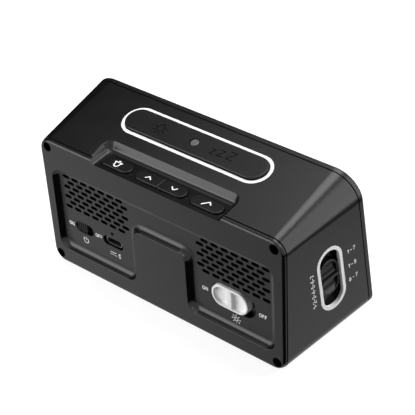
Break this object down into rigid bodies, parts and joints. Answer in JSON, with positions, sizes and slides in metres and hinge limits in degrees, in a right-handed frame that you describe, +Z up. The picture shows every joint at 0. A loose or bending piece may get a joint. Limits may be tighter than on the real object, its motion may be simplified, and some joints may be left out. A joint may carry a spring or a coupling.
{
  "type": "digital alarm clock",
  "caption": "Table alarm clock in a tapered black case with a long snooze bar, a recessed row of keys, a rear light slider, a power slider and a side selector.",
  "frame": {"origin": "on the table under the middle of the clock", "axes": "+Z up, the display looks to -Y, +X is the right side of the display as seen from the front"},
  "size_m": [0.1398, 0.0507, 0.0679],
  "materials": {
    "case_black": "fine moulded texture",
    "bezel_black": "satin",
    "smoked_window": "polished",
    "lcd_glass": "polished",
    "light_guide": "satin",
    "frame_white": "moulded",
    "strip_rubber": "matte",
    "board_green": "solder resist",
    "zinc_screw": "zinc plated",
    "screw_black": "blackened",
    "print_white": "printed",
    "sign_black": "engraved",
    "figure_light": "lit segments",
    "chip_black": "moulded",
    "parts_grey": "mixed",
    "ring_white": "satin",
    "bar_black": "fine moulded texture",
    "sensor_window": "polished",
    "switch_black": "moulded",
    "sensor_clear": "polished",
    "key_black": "fine moulded texture",
    "slider_black": "satin",
    "slider_white": "satin",
    "socket_steel": "drawn",
    "led_clear": "polished",
    "cell_wrap": "shrink film",
    "foam_black": "open cells",
    "speaker_plastic": "moulded",
    "cone_paper": "pressed",
    "magnet_grey": "sintered",
    "foot_rubber": "matte"
  },
  "bodies": {
    "clock_body": {"housing_shell": "case_black", "rear_cover": "case_black", "front_bezel": "bezel_black", "display_lens": "smoked_window", "lcd_panel": "lcd_glass", "backlight_panel": "light_guide", "lcd_frame": "frame_white", "contact_strips": "strip_rubber", "main_pcb": "board_green", "main_pcb_screws": "zinc_screw", "main_chip": "chip_black", "main_pcb_parts": "parts_grey", "rear_screws": "screw_black", "snooze_ring": "ring_white", "mode_ring": "ring_white", "snooze_pcb": "board_green", "snooze_pcb_screws": "zinc_screw", "snooze_switches": "switch_black", "light_sensor": "sensor_clear", "key_pcb": "board_green", "key_pcb_screws": "zinc_screw", "key_switches": "switch_black", "mode_switch": "switch_black", "mode_pcb": "board_green", "mode_pcb_screws": "zinc_screw", "auto_light_switch": "switch_black", "auto_light_pcb": "board_green", "auto_light_screws": "zinc_screw", "power_switch": "switch_black", "io_pcb": "board_green", "io_pcb_screws": "zinc_screw", "usb_socket": "socket_steel", "usb_tongue": "chip_black", "charge_light_pipe": "led_clear", "charge_led": "led_clear", "battery_pack": "cell_wrap", "battery_pad": "foam_black", "speaker_frame": "speaker_plastic", "speaker_cone": "cone_paper", "speaker_magnet": "magnet_grey", "rubber_feet": "foot_rubber"},
    "snooze_bar": {"snooze_bar": "bar_black", "light_sensor_window": "sensor_window"},
    "alarm_key": {"alarm_key": "key_black"},
    "down_key": {"down_key": "key_black"},
    "up_key": {"up_key": "key_black"},
    "set_key": {"set_key": "key_black"},
    "mode_slider": {"mode_slider": "slider_black"},
    "auto_light_slider": {"auto_light_slider": "slider_white"},
    "power_slider": {"power_slider": "slider_black"}
  },
  "joints": [
    {"name": "snooze_bar_press", "type": "slide", "parent": "clock_body", "child": "snooze_bar", "axis": [0, -0.1443, -0.9895], "range_m": [0, 0.0008], "stiffness_N_per_m": 3000, "springref_m": -0.0002},
    {"name": "alarm_key_press", "type": "slide", "parent": "clock_body", "child": "alarm_key", "axis": [0, 0, -1], "range_m": [0, 0.0005], "stiffness_N_per_m": 2500, "springref_m": -0.00015},
    {"name": "down_key_press", "type": "slide", "parent": "clock_body", "child": "down_key", "axis": [0, 0, -1], "range_m": [0, 0.0005], "stiffness_N_per_m": 2500, "springref_m": -0.00015},
    {"name": "up_key_press", "type": "slide", "parent": "clock_body", "child": "up_key", "axis": [0, 0, -1], "range_m": [0, 0.0005], "stiffness_N_per_m": 2500, "springref_m": -0.00015},
    {"name": "set_key_press", "type": "slide", "parent": "clock_body", "child": "set_key", "axis": [0, 0, -1], "range_m": [0, 0.0005], "stiffness_N_per_m": 2500, "springref_m": -0.00015},
    {"name": "mode_slide", "type": "slide", "parent": "clock_body", "child": "mode_slider", "axis": [0.0035, 0.0286, 0.9996], "range_m": [-0.004, 0.004]},
    {"name": "auto_light_slide", "type": "slide", "parent": "clock_body", "child": "auto_light_slider", "axis": [-1, 0, 0], "range_m": [0, 0.0032]},
    {"name": "power_slide", "type": "slide", "parent": "clock_body", "child": "power_slider", "axis": [-1, 0, 0], "range_m": [0, 0.003]}
  ]
}
